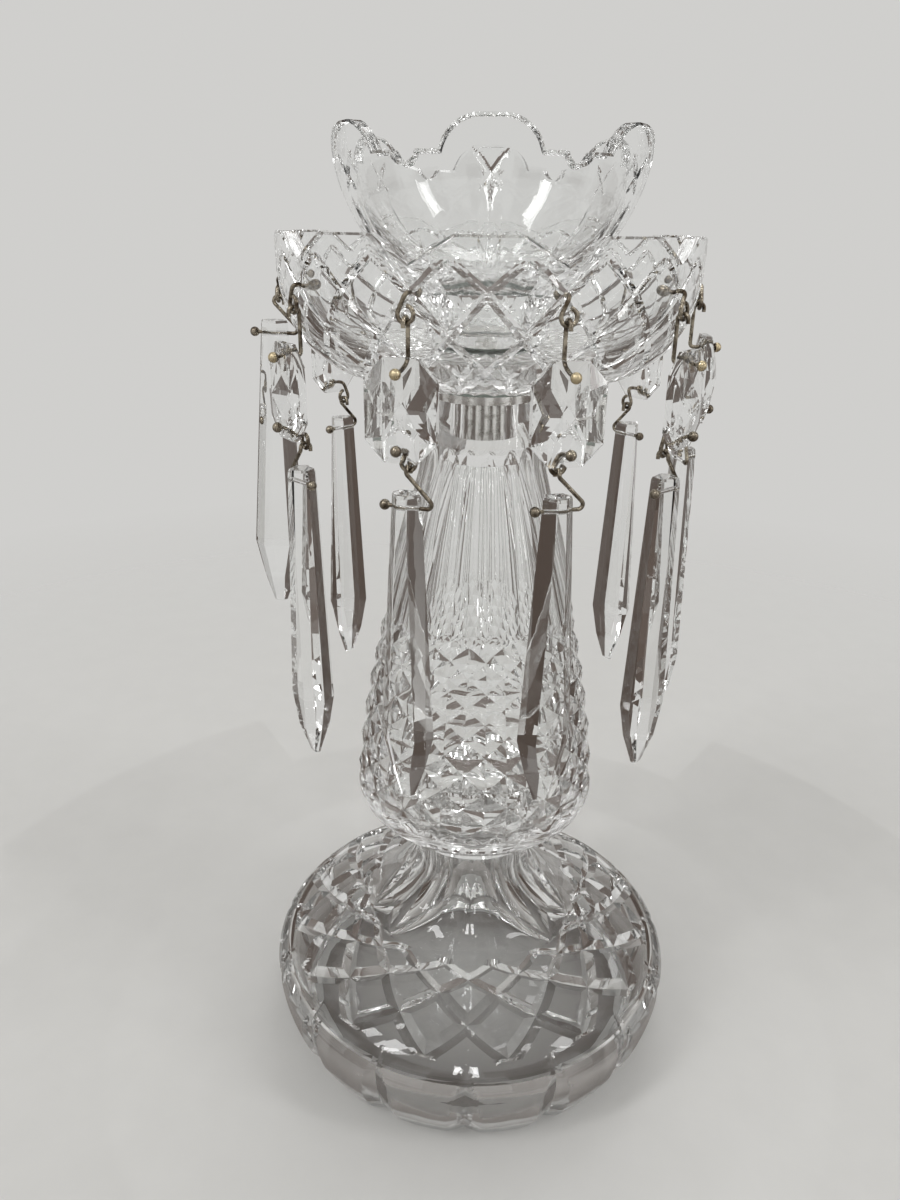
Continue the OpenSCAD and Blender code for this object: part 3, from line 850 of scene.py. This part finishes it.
@dataclass
class Bowl(GlassPart):
    """Scalloped bowl: crossing mitre grooves on the wall, plain flat-topped lobes, rays under the floor."""

    base_z: float = 198.0
    height: float = 34.5
    rim_r: float = 50.0
    base_r: float = 13.0
    base_ease: float = 1.0
    floor: float = 5.0
    wall: float = 4.0
    edge: float = 0.5
    hole_r: float = 3.4
    lobes: int = 10
    notch: float = 5.3
    notch_half: float = 8.7
    diamonds: int = 20
    rows_z: tuple[float, ...] = (200.6, 206.4, 213.4, 222.0, 228.6)
    lobe_gap: float = 0.9
    cut_depth: float = 1.3
    cut_share: float = 1 / 6
    top_ease: float = 0.35
    low_ease: tuple[float, float] = (0.7, 0.5)
    rays: int = 40
    ray_depth: float = 0.9
    columns: int = 24
    rows: tuple[int, ...] = (8, 12, 12, 12, 12, 6)
    steps: int = 160
    inner_rows: int = 40
    inner_power: float = 1.8

    def radius(self, height: Array, wall: float, floor: float) -> Array:
        """Radius at a height: base + reach (1 - (1 - u)^3)^0.4, where u is the share of the wall's height.

        Args:
            height: Heights above the bowl's underside.
            wall: Distance inside the outer rim.
            floor: Height at which the wall starts.

        Returns:
            The radius at each height.
        """
        u = held((height - floor) / (self.height - floor))
        return self.base_r + (self.rim_r - wall - self.base_r) * (1.0 - (1.0 - u) ** 3) ** 0.4

    def rim(self, angles: Array) -> Array:
        """Height of the rim at angles: flat lobes with a V between them."""
        half = 180.0 / self.lobes
        off = np.abs(self.rim_r * np.sin(np.radians(folded(angles - half, 2 * half))))
        rise = np.minimum(self.notch, self.notch * off / self.notch_half)
        return self.base_z + self.height - self.notch + rise

    def cuts(self, angles: Array, place: Array) -> tuple[Array, Array]:
        """Depth of the crossing grooves, eased out at both ends, and of the rays in the lowest band.

        Args:
            angles: Angles of the columns.
            place: Place up the wall, in bands.

        Returns:
            The depth, and which cells are split along the falling diagonal.
        """
        last = float(len(self.rows_z))
        cells = angles * self.diamonds / 180.0 + 0.0 * place
        cut, falling = lattice(cells, np.clip(place, 0.0, last), self.cut_share)
        start, run = self.low_ease
        ends = held((last - place) / self.top_ease) * held((place - start) / run)
        grooves = np.where(place <= last, self.cut_depth * cut * ends, 0.0)
        pitch = 360.0 / self.rays
        ray = held(1.0 - np.abs(2.0 * place - 1.0))
        ray = self.ray_depth * ray * (1.0 - 2.0 * np.abs(folded(angles, pitch)) / pitch)
        return np.maximum(grooves, ray), falling & (place < last)

    def build(self) -> Piece:
        """Builds the bowl: from the hole out under the floor, up the wall, over the rim and down inside.

        Returns:
            The bowl's piece.
        """
        shell = Shell("bowl_glass", self.diamonds * self.columns, "stand")
        angles = shell.angles
        flat = 0.0 * angles
        heights = self.height * np.linspace(0.0, 1.0, self.steps) ** 2
        outside = Profile(np.stack([self.radius(heights, 0.0, 0.0), heights + self.base_z], axis=1))
        rim = self.rim(angles)
        marks = [outside.length_at(z + flat) for z in self.rows_z[:-1]]
        marks.append(outside.length_at(np.minimum(self.rows_z[-1], rim - self.lobe_gap)))
        length, place = bands([flat, *marks, outside.length_at(rim - self.edge)], self.rows)
        depth, falling = self.cuts(angles, place)
        under, floor = self.base_z + SEAM, self.base_z + self.floor - SEAM
        shell.plain([(self.hole_r, floor), (self.hole_r, under), (self.base_r - self.base_ease, under)])
        shell.add(*outside.cut(length, depth), falling)
        top = rim[None, :]
        shell.add(self.radius(top - self.base_z, 0.0, 0.0) - self.edge, top)
        shell.add(self.radius(top - self.base_z, self.wall, self.floor) + self.edge, top)
        shares = np.linspace(1.0, 0.0, self.inner_rows)[:, None] ** self.inner_power
        heights = floor + (top - self.edge - floor) * shares
        shell.add(self.radius(heights - self.base_z, self.wall, self.floor), heights)
        return shell.build("bowl")


@dataclass
class CandleCup(GlassPart):
    """Flared candle cup: six arched lobes with ledges and notches, pointed cuts from a fluted stem."""

    base_z: float = 204.2
    height: float = 49.8
    rim_r: float = 36.8
    upright: tuple[float, float] = (0.3, 20.0)
    stem_r: float = 15.5
    stem_h: float = 11.0
    stem_flare: float = 0.5
    turn: tuple[float, float] = (8.5, 10.0)
    wall: float = 3.6
    edge: float = 0.6
    socket_r: float = 11.25
    floor: float = 4.0
    socket_d: float = 13.0
    head_r: float = 8.06
    head_t: float = 1.2
    hole_r: float = 3.06
    lobes: int = 6
    arch_h: float = 6.2
    arch_a: float = 17.0
    notch: float = 2.2
    notch_a: float = 5.0
    cuts: int = 12
    cut_depth: float = 1.2
    cut_half: float = 5.2
    cut_low: float = 2.0
    cut_rise: float = 26.0
    cut_growth: float = 6.0
    cross_z: float = 243.5
    cross_up: float = 4.8
    cross_down: float = 2.9
    cross_slope: float = 0.8
    cross_half: float = 0.8
    cross_depth: float = 0.45
    cross_low_z: float = 239.0
    bar_half: float = 2.4
    bar_depth: float = 0.3
    bar_growth: float = 6.0
    columns: int = 70
    rows: tuple[int, int, int] = (10, 24, 40)
    steps: int = 120
    inner_rows: int = 26

    def outline(self, wall: float, low: tuple[float, float], turn: tuple[float, float]) -> Array:
        """The flare: a cubic curve from the stem to an upright rim.

        Args:
            wall: Distance inside the outer outline.
            low: Radius and height at which the curve starts, above the base.
            turn: Radius and height at which it aims first.

        Returns:
            Points of radius and height, from the stem upwards.
        """
        lean, rise = self.upright
        aims = [low, turn, (self.rim_r - lean - wall, self.stem_h + rise), (self.rim_r - wall, self.height)]
        return curve(aims, self.steps) + np.array([[0.0, self.base_z]])

    def rim(self, angles: Array) -> Array:
        """Height of the rim: a round arch amid each lobe, a ledge, and a round notch between lobes.

        Args:
            angles: Angles of the columns.

        Returns:
            The height at each angle.
        """
        off = np.abs(folded(angles, 360.0 / self.lobes))
        half = 180.0 / self.lobes
        ledge = self.base_z + self.height - self.arch_h
        side = self.rim_r * np.sin(np.radians(half - off))
        start = self.rim_r * math.sin(math.radians(half - self.arch_a))
        run = (self.rim_r - self.wall) * math.sin(math.radians(half)) - start
        out = run - np.clip(side - start, 0.0, run)
        arch_r = (run**2 + self.arch_h**2) / (2.0 * self.arch_h)
        arch = ledge + self.arch_h - arch_r + np.sqrt(arch_r**2 - out**2)
        round_r = self.rim_r * math.sin(math.radians(self.notch_a))
        dip = ledge + round_r - self.notch - np.sqrt(np.clip(round_r**2 - side**2, 0.0, None))
        return np.where(side < round_r, np.minimum(dip, ledge), arch)

    def pointed_cuts(self, angles: Array, radius: Array, height: Array) -> Array:
        """V cuts that rise from the stem to a point: depth d(1 - u^1.5), less its share of the way out.

        Args:
            angles: Angles of the columns.
            radius: Radius of the uncut surface.
            height: Height of the uncut surface.

        Returns:
            Depth of the cuts.
        """
        off = np.abs(np.radians(folded(angles, 360.0 / self.cuts)) * radius)
        climb = held((height - self.base_z - self.cut_low) / self.cut_rise)
        depth = np.clip(self.cut_depth * (1.0 - climb**1.5 - off / self.cut_half), 0.0, None)
        return depth * held(self.cut_growth * climb)

    def lobe_cuts(self, angles: Array, radius: Array, height: Array) -> Array:
        """Cuts amid each lobe: two crossed mitres, and below them a hollow bar that narrows at its ends.

        Args:
            angles: Angles of the columns.
            radius: Radius of the uncut surface.
            height: Height of the uncut surface.

        Returns:
            Depth of the cuts.
        """
        side = np.abs(np.radians(folded(angles, 360.0 / self.lobes)) * radius)
        up = height - self.cross_z
        gap = np.abs(side - self.cross_slope * np.abs(up)) / math.hypot(1.0, self.cross_slope)
        reach = np.where(up > 0.0, self.cross_up, self.cross_down)
        cross = self.cross_depth * (1.0 - gap / self.cross_half - (up / reach) ** 4)
        low = self.base_z + self.stem_h
        run = (height - low) / (self.cross_z - self.cross_down - low)
        ends = held(self.bar_growth * run * (1.0 - run))
        bar = self.bar_depth * ends * (1.0 - (side / self.bar_half) ** 2)
        return np.clip(np.maximum(cross, bar), 0.0, None)

    def build(self) -> Piece:
        """Builds the cup: from the screw hole out under the stem, up the flare, and down to the socket.

        Returns:
            The cup's piece.
        """
        shell = Shell("candle_cup_glass", self.cuts * self.columns, "candle_cup")
        angles = shell.angles
        flat = 0.0 * angles
        turn_r, turn_z = self.stem_r + self.turn[0], self.stem_h + self.turn[1]
        flare = self.outline(0.0, (self.stem_r + self.stem_flare, self.stem_h), (turn_r, turn_z))
        outside = Profile(np.concatenate([[[self.stem_r, self.base_z + self.edge]], flare]))
        rim = self.rim(angles)
        marks = [outside.length_at(z + flat) for z in (self.base_z + self.stem_h, self.cross_low_z)]
        length, _ = bands([flat, *marks, outside.length_at(rim - self.edge)], self.rows)
        r, z = outside.at(length)
        depth = np.maximum(self.pointed_cuts(angles, r, z), self.lobe_cuts(angles, r, z))
        socket = (self.socket_r, self.floor + self.socket_d)
        within = Profile(self.outline(self.wall, socket, (turn_r - self.wall, turn_z)))
        low, floor = self.base_z + SEAM, self.base_z + self.floor
        sink = floor - self.head_t - SEAM
        shell.plain([(self.hole_r, sink), (self.hole_r, low), (self.stem_r - self.edge, low)])
        shell.add(*outside.cut(length, depth))
        lip = within.at(within.length_at(rim))[0]
        shell.add(lip + self.wall - self.edge, rim)
        shell.add(lip + self.edge, rim)
        shares = np.linspace(1.0, 0.0, self.inner_rows)[:, None]
        shell.add(*within.at(within.length_at(rim - self.edge) * shares))
        shell.plain([(self.socket_r, floor), (self.head_r, floor), (self.head_r, sink)])
        return shell.build("candle_cup")


@dataclass
class Octagon(GlassPart):
    """Star-cut glass button: on both faces kites from a raised point, and triangles along the rim."""

    number: int
    width: float = 15.5
    height: float = 20.8
    edge: float = 1.6
    out: float = 53.28
    middle_z: float = 199.89
    top: float = 0.46
    side: float = 0.58
    rises: tuple[float, float] = (3.0, 2.2)
    star: float = 0.6
    star_rise: float = 0.49

    def points(self) -> Array:
        """Points of the front face, then the rear: the raised point, places inside the edges, the corners.

        Returns:
            The points in metres, turned to the button's own place round the axis.
        """
        x = 0.5 * self.width * np.array([-self.top, self.top, 1, 1, self.top, -self.top, -1, -1])
        z = 0.5 * self.height * np.array([-1, -1, -self.side, self.side, 1, 1, self.side, -self.side])
        corner = np.stack([x, z], axis=1)
        inner = 0.5 * self.star * (corner + np.roll(corner, -1, axis=0))
        flat = np.concatenate([[[0.0, 0.0]], inner, corner])
        lift = np.concatenate([[1.0], np.full(len(inner), self.star_rise), np.zeros(len(corner))])
        faces = []
        for rise, way in zip(self.rises, (1.0, -1.0)):
            out = self.out + way * (0.5 * self.edge + rise * lift)
            faces.append(np.stack([flat[:, 0], -out, self.middle_z + flat[:, 1]], axis=1))
        turn = math.radians(CHAIN_STEP * (self.number - 0.5))
        cos, sin = math.cos(turn), math.sin(turn)
        return np.concatenate(faces) @ np.array([[cos, sin, 0], [-sin, cos, 0], [0, 0, 1]]) * MM

    def build(self) -> Piece:
        """Builds the button: kite halves and rim triangles on each face, and a band round the edge.

        Returns:
            The octagon's piece.
        """
        sides = 8
        i = np.arange(sides)
        after, before = (i + 1) % sides, (i - 1) % sides
        corner, rear = 1 + sides, 1 + 2 * sides
        far = rear + corner
        kites = np.stack([0 * i, 1 + before, corner + i, 0 * i, corner + i, 1 + i], axis=1).reshape(-1, 3)
        front = np.concatenate([kites, np.stack([corner + i, corner + after, 1 + i], axis=1)])
        band = [corner + i, far + i, far + after, corner + i, far + after, corner + after]
        band = np.stack(band, axis=1).reshape(-1, 3)
        faces = np.concatenate([front, front[:, ::-1] + rear, band])
        piece = new_piece(f"octagon_glass_{self.number}", self.points(), faces)
        return seat(piece, f"octagon_{self.number}", f"octagon_{self.number}")


@dataclass
class Drops:
    """The ten chains: octagons and prisms of glass on wire pins."""

    nodes: dict[str, Piece]

    def dress(self, glass: Material, wire: Material, headed: Material) -> None:
        """Gives each node of the chains its finish, and each octagon its cut piece.

        Args:
            glass: For octagons and prisms.
            wire: For the bowl's and the prisms' pins.
            headed: For the octagons' pins, whose golden heads face out.
        """
        for name, piece in self.nodes.items():
            if name.startswith("octagon_pins"):
                coat(piece, headed)
            elif "_pin_" in name:
                coat(piece, wire)
            elif name.startswith("prism_"):
                coat(piece, glass)
            elif name.startswith("octagon_"):
                Octagon(int(name.split("_")[-1])).dress(glass)


@dataclass
class Fittings:
    """Plated collar and screw, and the two washers."""

    nodes: dict[str, Piece]
    plated: tuple[str, ...] = ("collar", "cup_screw")
    washers: tuple[str, ...] = ("seat_washer", "cup_washer")

    def dress(self, plate: Material, washer: Material) -> None:
        """Gives the metal and the washers their finish."""
        for names, finish in ((self.plated, plate), (self.washers, washer)):
            for name in names:
                coat(self.nodes[name], finish)


@dataclass(frozen=True)
class Lamp:
    """A rectangular soft lamp that faces the pillar's middle, in metres and watts."""

    name: str
    place: Colour
    size: tuple[float, float]
    power: float
    aim: Colour = (0.0, 0.0, 0.15)

    def hang(self) -> None:
        """Hangs the lamp with its width level, facing its aim."""
        data = bpy.data.lights.new(self.name, "AREA")
        data.shape = "RECTANGLE"
        data.size, data.size_y = self.size
        data.energy = self.power
        lamp = bpy.data.objects.new(self.name, data)
        bpy.context.scene.collection.objects.link(lamp)
        away = np.array(self.place) - np.array(self.aim)
        away = away / np.linalg.norm(away)
        side = np.cross((0.0, 0.0, 1.0), away)
        side = side / np.linalg.norm(side)
        frame = np.eye(4)
        frame[:3, :3] = np.stack([side, np.cross(away, side), away], axis=1)
        frame[:3, 3] = self.place
        lamp.matrix_world = Matrix(frame.tolist())


@dataclass
class Studio:
    """Pale floor and world, dark cards that only glass and metal see, soft lamps, and the camera."""

    pale: Colour = (0.63, 0.625, 0.61)
    dark: Colour = (0.12, 0.088, 0.072)
    floor_r: float = 0.62
    floor_hole: float = 0.0005
    floor_z: float = -0.0002
    floor_grain: float = 60.0
    rings: int = 40
    spokes: int = 96
    circle: tuple[float, float] = (-180.0, 180.0)
    felt_grain: float = 40.0
    card_points: int = 25
    low_bend: Bend = ((0.157, 0.0005), (0.2, 0.0005), (0.2, 0.17))
    low_arcs: Bend = ((-147, -108), (-90, -70), (-53, -35), (-17, 2), (19, 37), (55, 74), (91, 144))
    high_bend: Bend = ((0.45, 0.36), (0.45, 0.5))
    high_arcs: Bend = ((-176, -110), (-95, -20), (10, 80), (95, 172))
    # Flat dark rings on the floor, seen only through the glass; the first two are painted contact shade
    # round the foot's rim, darkest next to it.
    ring_bends: tuple[tuple[Bend, Fade], ...] = (
        (((0.001, 0.0005), (0.047, 0.0005)), Fade.SHADE_INWARD),
        (((0.057, 0.0005), (0.1, 0.0005)), Fade.SHADE_OUTWARD),
        (((0.115, 0.0005), (0.157, 0.0005)), Fade.NONE),
    )
    lamps: tuple[Lamp, ...] = (
        Lamp("key", (-0.7, -0.5, 0.9), (0.16, 0.8), 3.2),
        Lamp("fill", (0.8, -0.3, 0.7), (0.14, 0.8), 2.0),
        Lamp("top", (0.1, 0.4, 0.95), (0.4, 0.25), 1.0),
        Lamp("strip_left", (-0.08, -0.85, 1.0), (0.06, 0.4), 0.8),
        Lamp("strip_right", (0.08, -0.85, 1.0), (0.06, 0.4), 0.8),
    )
    eye: Colour = (0.0, -0.229, 0.234)
    lens: float = 27.0
    sensor: float = 36.0
    near: float = 0.01
    yaw: float = 2.0
    pitch_down: float = 22.6
    roll: float = 0.85
    bounces: int = 32
    mirror_bounces: int = 16

    def strip(self, name: str, bend: Pairs, arc: tuple[float, float], count: int, finish: Material) -> Piece:
        """Carries a section round the axis along an arc, as a piece of the studio.

        Args:
            name: Name of the piece.
            bend: Points of the section, radius and height.
            arc: First and last angle.
            count: Number of places along the arc.
            finish: The strip's material.

        Returns:
            The new piece.
        """
        a = np.radians(np.linspace(*arc, count))
        r, z = (np.array(side)[:, None] for side in zip(*bend))
        points = np.stack([r * np.sin(a), -r * np.cos(a), z + 0.0 * a], axis=2).reshape(-1, 3)
        index = np.arange(r.size * a.size).reshape(r.size, a.size)
        corners = index[:-1, :-1], index[:-1, 1:], index[1:, 1:], index[1:, :-1]
        piece = new_piece(name, points, np.stack(corners, axis=2).reshape(-1, 4))
        coat(piece, finish)
        return piece

    def floor(self) -> None:
        """Lays the floor: a disc that fades out towards its edge."""
        radii = np.linspace(0.0, self.floor_r, self.rings) + self.floor_hole
        finish = MattFinish("pale_floor", self.pale, self.floor_grain, Fade.FLOOR).make()
        self.strip("floor", [(r, self.floor_z) for r in radii], self.circle, self.spokes + 1, finish)

    def cards(self) -> None:
        """Sets dark felt cards that only glass and metal see, so that facets part into dark and light.

        The low and the high ones stand in arcs with gaps, and flat rings lie under and round the foot; the
        two nearest the foot's rim are painted contact shade, darkest next to the rim and fading away from
        it.
        """
        # Dark felt for the cards, and the same dark colour graded into painted contact shade for the two
        # rings at the foot's rim.
        felt = {
            fade: MattFinish(f"dark_felt_{fade.name.lower()}", self.dark, self.felt_grain, fade).make()
            for fade in (Fade.NONE, Fade.SHADE_INWARD, Fade.SHADE_OUTWARD)
        }
        places = [(self.low_bend, arc, Fade.NONE) for arc in self.low_arcs]
        places += [(self.high_bend, arc, Fade.NONE) for arc in self.high_arcs]
        places += [(bend, self.circle, fade) for bend, fade in self.ring_bends]
        for number, (bend, arc, fade) in enumerate(places):
            card = self.strip(f"card_{number}", bend, arc, self.card_points, felt[fade])
            card.visible_camera = card.visible_diffuse = card.visible_shadow = False

    def world(self) -> None:
        """Pale surroundings, the same for every ray."""
        world = bpy.data.worlds.new("studio")
        bpy.context.scene.world = world
        graph = Graph(world)
        light = graph.node("ShaderNodeBackground", {}, {"Color": opaque(self.pale), "Strength": 1.0})
        graph.node("ShaderNodeOutputWorld", {}, {"Surface": light.outputs[0]})

    def camera(self) -> None:
        """Sets the near, high viewpoint, tilted and rolled a little."""
        data = bpy.data.cameras.new("view")
        data.sensor_width = self.sensor
        data.lens = self.lens
        data.clip_start = self.near
        camera = bpy.data.objects.new("view", data)
        turns = ((self.yaw, "Z"), (90.0 - self.pitch_down, "X"), (self.roll, "Z"))
        yaw, tilt, roll = (Matrix.Rotation(math.radians(angle), 4, axis) for angle, axis in turns)
        camera.matrix_world = Matrix.Translation(self.eye) @ yaw @ tilt @ roll
        bpy.context.scene.collection.objects.link(camera)
        bpy.context.scene.camera = camera

    def build(self) -> None:
        """Builds camera, floor, world, cards and lamps, and sets what clear glass needs."""
        self.camera()
        self.floor()
        self.world()
        self.cards()
        for lamp in self.lamps:
            lamp.hang()
        scene = bpy.context.scene
        scene.view_settings.view_transform = "Standard"
        scene.cycles.max_bounces = self.bounces
        scene.cycles.transmission_bounces = self.bounces
        scene.cycles.glossy_bounces = self.mirror_bounces


def main() -> None:
    """Loads the frame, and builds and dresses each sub-assembly."""
    logging.basicConfig(level=logging.INFO, format="%(name)s %(message)s")
    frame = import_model()
    nodes = frame["nodes"]
    Studio().build()
    crystal = GlassFinish("cut_crystal").make()
    for part in (Foot(), Pillar(), Bowl(), CandleCup()):
        part.dress(crystal)
    drop_crystal = GlassFinish("drop_crystal", haze=0.03, ripple=0.03).make()
    wire = WireFinish("tarnished_wire").make()
    headed = WireFinish("wire_with_gold_heads", head_from=55.9).make()
    Drops(nodes).dress(drop_crystal, wire, headed)
    Fittings(nodes).dress(PlateFinish("bright_plate").make(), WasherFinish("green_washer").make())


if __name__ == "__main__":
    main()
